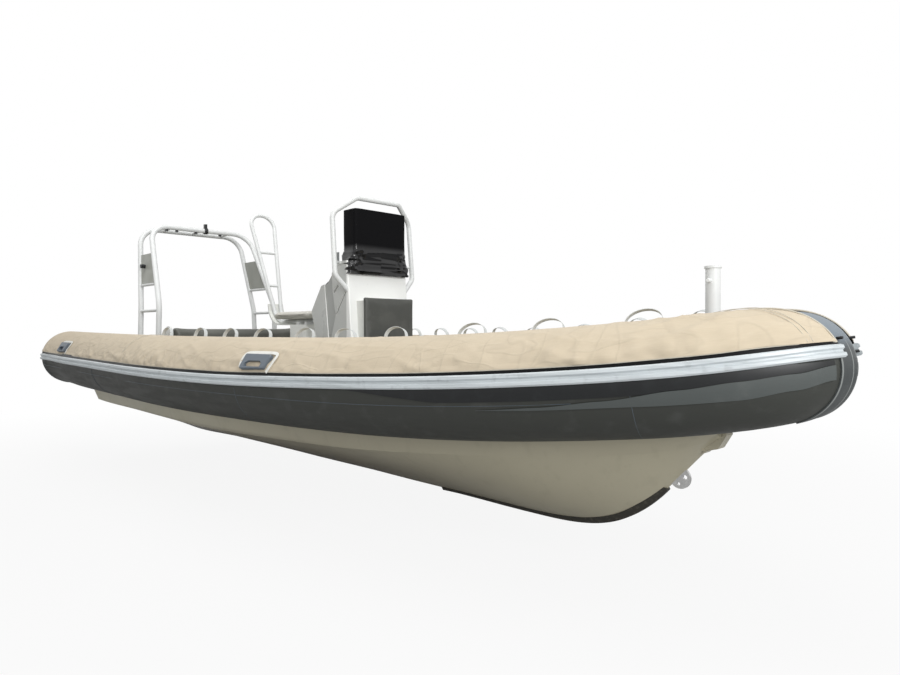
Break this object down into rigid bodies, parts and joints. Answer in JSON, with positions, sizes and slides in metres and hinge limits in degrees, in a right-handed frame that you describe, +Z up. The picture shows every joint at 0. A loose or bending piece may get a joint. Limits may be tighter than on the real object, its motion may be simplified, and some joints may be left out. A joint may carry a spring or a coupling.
{
  "type": "inflatable rib boat",
  "caption": "Rigid inflatable boat: deep V hull, covered side tubes, console, helm seat, aft bench, A-frame and bow post.",
  "frame": {"origin": "point on the waterline above the keel, amidships", "axes": "+X forward to the bow, +Y to port, +Z up"},
  "size_m": [7.3881, 2.5386, 2.2026],
  "materials": {
    "hull": "satin gelcoat",
    "keel_guard": "matte",
    "tow_eye": "satin",
    "deck": "non-slip",
    "gelcoat": "satin",
    "tube": "matte coated fabric",
    "strake": "satin",
    "track": "matte",
    "cover": "woven canvas",
    "patch": "matte",
    "wear": "matte",
    "screen": "tinted",
    "strap": "webbing",
    "handle": "moulded",
    "frame": "white paint",
    "plates": "satin",
    "lamps": "satin",
    "cushion": "vinyl",
    "cushion_light": "vinyl",
    "screen_cover": "coated fabric",
    "wheel": "satin",
    "steel": "satin"
  },
  "bodies": {
    "boat": {"hull": "hull", "keel_guard": "keel_guard", "tow_eye": "tow_eye", "deck_panel": "deck", "transom_board": "gelcoat", "coamings": "gelcoat", "tube_port": "tube", "tube_starboard": "tube", "tube_bow": "tube", "strake_port": "strake", "strake_starboard": "strake", "cover_track": "track", "cover_port": "cover", "cover_starboard": "cover", "nose_patch": "patch", "bow_wear": "wear", "grab_straps_port": "strap", "grab_straps_starboard": "strap", "carry_handles": "handle", "aframe_fore_hoop": "frame", "aframe_aft_hoop": "frame", "aframe_rungs": "frame", "aframe_plates": "plates", "aframe_lamps": "lamps", "console": "gelcoat", "screen_cover": "screen_cover", "windscreen_ends": "screen", "console_rail": "frame", "wheel_boss": "steel", "throttle": "wheel", "front_seat_box": "gelcoat", "front_seat_cushion": "cushion", "front_back_cushion": "cushion", "helm_pod": "gelcoat", "helm_cushion": "cushion_light", "helm_frame": "frame", "helm_pan": "gelcoat", "bench_base": "gelcoat", "bench_cushion": "cushion", "bench_backrest": "cushion", "foredeck": "gelcoat", "locker_hinges": "steel", "bow_post": "frame"},
    "wheel": {"steering_wheel": "wheel"},
    "lid": {"locker_lid": "gelcoat"}
  },
  "joints": [
    {"name": "steering", "type": "hinge", "parent": "boat", "child": "wheel", "pos_m": [0.32432, 0, 0.94124], "axis": [-0.8117, 0, 0.5841], "range_deg": [-540, 540]},
    {"name": "locker_lid_hinge", "type": "hinge", "parent": "boat", "child": "lid", "pos_m": [2.494, 0, 0.421], "axis": [0, 1, 0], "range_deg": [0, 100]}
  ]
}
